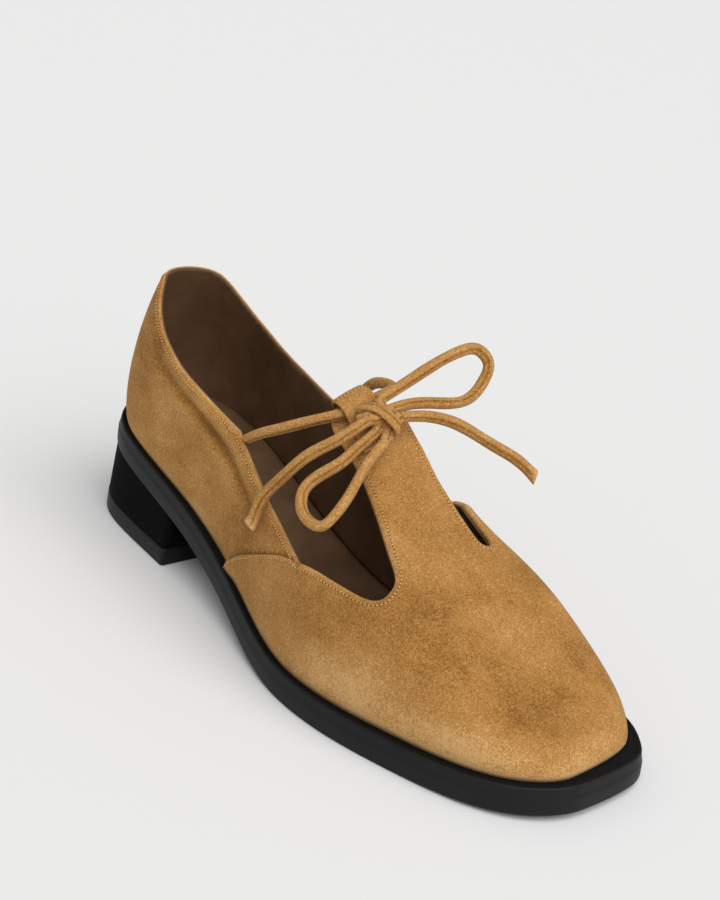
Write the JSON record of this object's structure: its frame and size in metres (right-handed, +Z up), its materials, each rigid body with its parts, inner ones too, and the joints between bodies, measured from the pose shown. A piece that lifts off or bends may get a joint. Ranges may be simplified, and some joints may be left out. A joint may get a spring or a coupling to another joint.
{
  "type": "t-strap shoe",
  "caption": "Right t-strap shoe: suede upper with side cut-outs, welted rubber sole, low block heel, and a round lace run through a folded tab and tied in a bow.",
  "frame": {"origin": "on the standing surface, under the middle of the shoe's box", "axes": "toe along -Y, heel along +Y, wearer's right (the outer side) along -X, +Z up"},
  "size_m": [0.1001, 0.2662, 0.1064],
  "materials": {
    "sole_rubber": "satin black, moulded",
    "heel_block": "satin black, covered block",
    "lining": "smooth brown lining leather",
    "suede": "tan suede with an uneven brushed nap",
    "lace": "round tan suede-covered lace"
  },
  "bodies": {
    "root": {"outsole": "sole_rubber", "heel": "heel_block", "top_piece": "sole_rubber", "insole": "lining", "upper": "suede", "lace_tab": "suede", "lace_bars": "lace", "lace_knot": "lace", "lace_loop_inner": "lace", "lace_loop_outer": "lace", "lace_end_inner": "lace", "lace_end_outer": "lace"}
  },
  "joints": []
}
